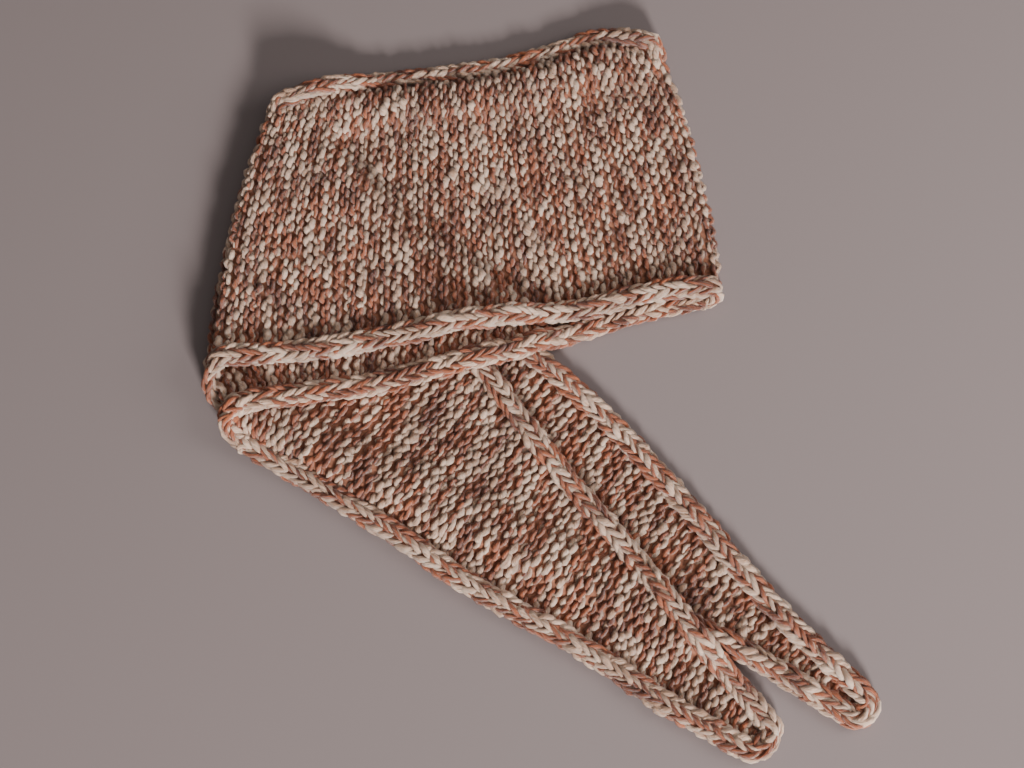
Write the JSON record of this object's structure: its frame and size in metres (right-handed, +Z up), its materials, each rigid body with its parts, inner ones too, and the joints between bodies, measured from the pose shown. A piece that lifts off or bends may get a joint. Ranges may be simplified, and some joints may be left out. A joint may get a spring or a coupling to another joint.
{
  "type": "knit scarf",
  "caption": "Long chunky knit scarf with corded edges, folded in half and again on a slant, lying flat with both narrow ends to one side.",
  "frame": {"origin": "on the surface that the folded scarf lies on, under the middle of its box", "axes": "+Z up from the surface, +Y across the folded block, away from the ends, +X along the folded block towards its double fold"},
  "size_m": [0.4208, 0.4925, 0.0345],
  "materials": {
    "garter": "chunky marled wool in garter stitch, matt and slightly fuzzy",
    "edge_cord": "the same marled wool, knitted as a round cord of V stitches"
  },
  "bodies": {
    "root": {"front_panel": "garter", "back_panel": "garter", "hidden_layers": "garter", "tail_front": "garter", "tail_back": "garter", "front_cord_lower": "edge_cord", "front_cord_upper": "edge_cord", "back_cord_lower": "edge_cord", "tail_front_cord_lower": "edge_cord", "tail_front_cord_upper": "edge_cord", "tail_back_cord_lower": "edge_cord", "tail_back_cord_upper": "edge_cord"}
  },
  "joints": []
}
